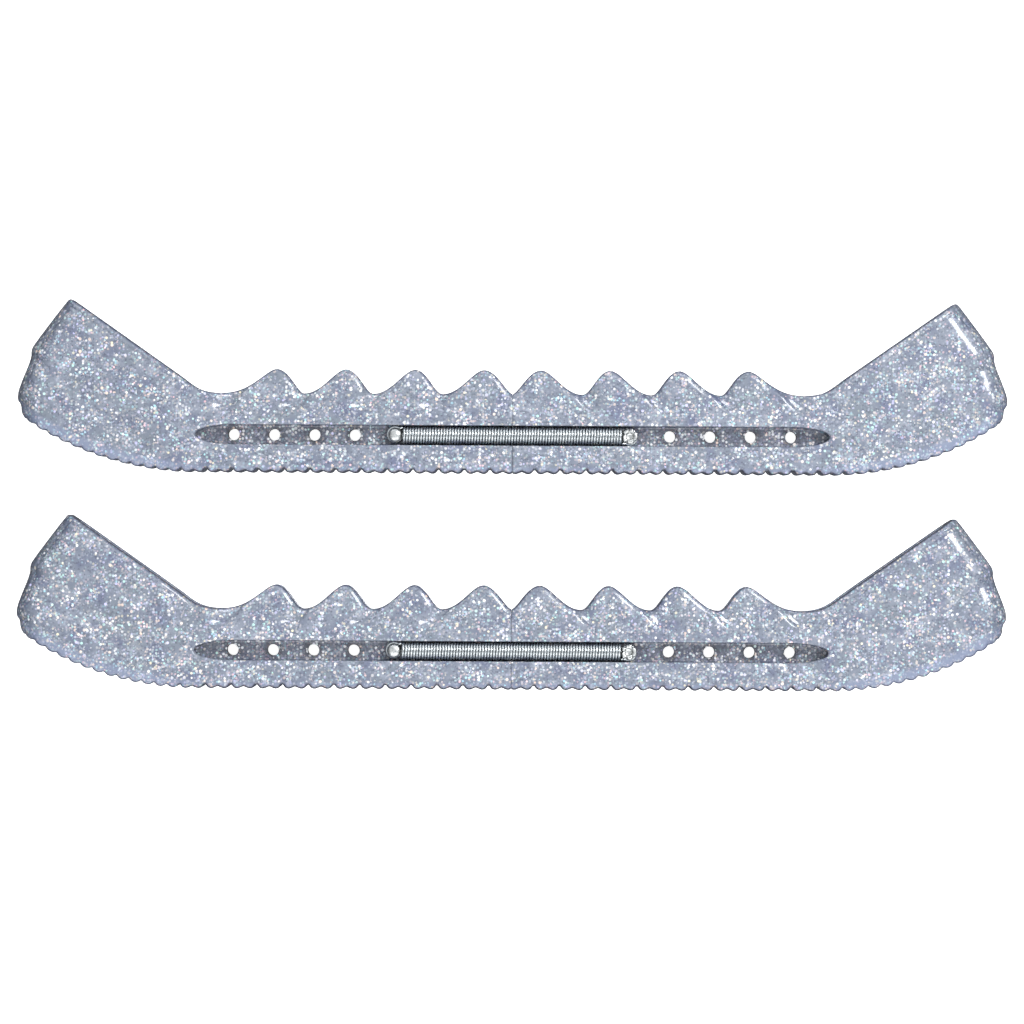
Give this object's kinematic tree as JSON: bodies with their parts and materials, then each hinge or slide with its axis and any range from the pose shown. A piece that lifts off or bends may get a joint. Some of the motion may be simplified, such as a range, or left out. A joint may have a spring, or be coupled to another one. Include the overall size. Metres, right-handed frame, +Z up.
{
  "type": "pair of ice skate blade guards",
  "caption": "Pair of ice skate blade guards, each of two slotted plastic halves drawn together by springs riveted into side channels",
  "frame": {"origin": "on the table under the middle of the pair, at the joint between the guards' halves", "axes": "both guards lie on their sides: +X along the blades from heel to toe, +Y from each tread to its waved rim, +Z up off the table, across the blades"},
  "size_m": [0.3114, 0.122, 0.018],
  "materials": {
    "glitter_plastic": "clear blue-grey moulding full of silver and pastel glitter",
    "spring_wire": "bright drawn spring wire",
    "plated_steel": "zinc-plated tubular rivet"
  },
  "bodies": {
    "left_heel": {"left_heel_half": "glitter_plastic", "left_heel_rivet": "plated_steel", "left_outer_spring": "spring_wire", "left_inner_spring": "spring_wire"},
    "left_toe": {"left_toe_half": "glitter_plastic", "left_toe_rivet": "plated_steel"},
    "right_heel": {"right_heel_half": "glitter_plastic", "right_heel_rivet": "plated_steel", "right_outer_spring": "spring_wire", "right_inner_spring": "spring_wire"},
    "right_toe": {"right_toe_half": "glitter_plastic", "right_toe_rivet": "plated_steel"}
  },
  "joints": [
    {"name": "left_stretch", "type": "slide", "parent": "left_heel", "child": "left_toe", "axis": [1, 0, 0], "range_m": [0, 0.04], "stiffness_N_per_m": 1400, "springref_m": -0.006, "deforming": ["left_outer_spring", "left_inner_spring"]},
    {"name": "right_stretch", "type": "slide", "parent": "right_heel", "child": "right_toe", "axis": [1, 0, 0], "range_m": [0, 0.04], "stiffness_N_per_m": 1400, "springref_m": -0.006, "deforming": ["right_outer_spring", "right_inner_spring"]},
    {"name": "right_guard_slide", "type": "slide", "parent": "left_heel", "child": "right_heel", "axis": [0, -1, 0], "range_m": [0, 0.12]}
  ]
}
